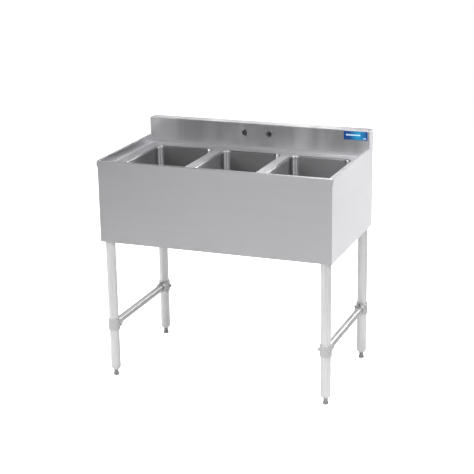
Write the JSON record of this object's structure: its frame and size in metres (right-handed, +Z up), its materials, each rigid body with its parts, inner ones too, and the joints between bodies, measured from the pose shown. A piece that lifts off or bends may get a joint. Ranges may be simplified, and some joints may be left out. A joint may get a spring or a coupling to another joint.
{
  "type": "three compartment sink",
  "caption": "Free-standing underbar sink with side-by-side bowls, a raised lip, a backsplash with faucet holes, tube legs and side braces.",
  "frame": {"origin": "on the floor, at the centre of the box that holds the whole sink", "axes": "+Z up, +Y to the rear, the backsplash side, +X to the right of someone standing at the front"},
  "size_m": [0.9144, 0.5334, 0.9306],
  "materials": {
    "brushed_sheet": "fine lengthwise brushed stainless sheet, satin",
    "drawn_bowl": "satin drawn stainless",
    "frame_steel": "mill finish stainless",
    "galvanised_tube": "pale galvanised tube, satin",
    "cast_fitting": "rough cast alloy",
    "foot_grey": "moulded grey plastic",
    "screw_steel": "dark plated screws",
    "drain_chrome": "polished plating",
    "plated_washer": "zinc plated",
    "drain_rubber": "soft black rubber",
    "label_film": "printed film with no lettering"
  },
  "bodies": {
    "sink_frame": {"deck": "brushed_sheet", "backsplash": "brushed_sheet", "front_apron": "brushed_sheet", "end_panel_left": "brushed_sheet", "end_panel_right": "brushed_sheet", "bowl_left": "drawn_bowl", "bowl_center": "drawn_bowl", "bowl_right": "drawn_bowl", "front_stiffener": "frame_steel", "rear_stiffener": "frame_steel", "rear_rail": "frame_steel", "gusset_front_left": "frame_steel", "gusset_front_right": "frame_steel", "gusset_rear_left": "frame_steel", "gusset_rear_right": "frame_steel", "socket_front_left": "cast_fitting", "socket_front_right": "cast_fitting", "socket_rear_left": "cast_fitting", "socket_rear_right": "cast_fitting", "leg_front_left": "galvanised_tube", "leg_front_right": "galvanised_tube", "leg_rear_left": "galvanised_tube", "leg_rear_right": "galvanised_tube", "leg_tip_front_left": "galvanised_tube", "leg_tip_front_right": "galvanised_tube", "leg_tip_rear_left": "galvanised_tube", "leg_tip_rear_right": "galvanised_tube", "collar_front_left": "cast_fitting", "collar_front_right": "cast_fitting", "collar_rear_left": "cast_fitting", "collar_rear_right": "cast_fitting", "brace_left": "galvanised_tube", "brace_right": "galvanised_tube", "collar_set_screws": "screw_steel", "socket_set_screws": "screw_steel", "drain_body_left": "drain_chrome", "drain_body_center": "drain_chrome", "drain_body_right": "drain_chrome", "tailpiece_left": "drain_chrome", "tailpiece_center": "drain_chrome", "tailpiece_right": "drain_chrome", "drain_gaskets": "drain_rubber", "drain_washers": "plated_washer", "drain_locknuts": "drain_chrome", "tailpiece_nuts": "drain_chrome", "tailpiece_washers": "drain_rubber", "splash_label": "label_film"},
    "front_left_foot": {"foot_front_left": "foot_grey"},
    "front_right_foot": {"foot_front_right": "foot_grey"},
    "rear_left_foot": {"foot_rear_left": "foot_grey"},
    "rear_right_foot": {"foot_rear_right": "foot_grey"},
    "left_strainer": {"strainer_left": "drain_chrome"},
    "center_strainer": {"strainer_center": "drain_chrome"},
    "right_strainer": {"strainer_right": "drain_chrome"}
  },
  "joints": [
    {"name": "foot_front_left_adjust", "type": "slide", "parent": "sink_frame", "child": "front_left_foot", "axis": [0, 0, -1], "range_m": [-0.012, 0.012]},
    {"name": "foot_front_right_adjust", "type": "slide", "parent": "sink_frame", "child": "front_right_foot", "axis": [0, 0, -1], "range_m": [-0.012, 0.012]},
    {"name": "foot_rear_left_adjust", "type": "slide", "parent": "sink_frame", "child": "rear_left_foot", "axis": [0, 0, -1], "range_m": [-0.012, 0.012]},
    {"name": "foot_rear_right_adjust", "type": "slide", "parent": "sink_frame", "child": "rear_right_foot", "axis": [0, 0, -1], "range_m": [-0.012, 0.012]},
    {"name": "strainer_left_lift", "type": "slide", "parent": "sink_frame", "child": "left_strainer", "axis": [0, 0, 1], "range_m": [0, 0.045]},
    {"name": "strainer_center_lift", "type": "slide", "parent": "sink_frame", "child": "center_strainer", "axis": [0, 0, 1], "range_m": [0, 0.045]},
    {"name": "strainer_right_lift", "type": "slide", "parent": "sink_frame", "child": "right_strainer", "axis": [0, 0, 1], "range_m": [0, 0.045]}
  ]
}
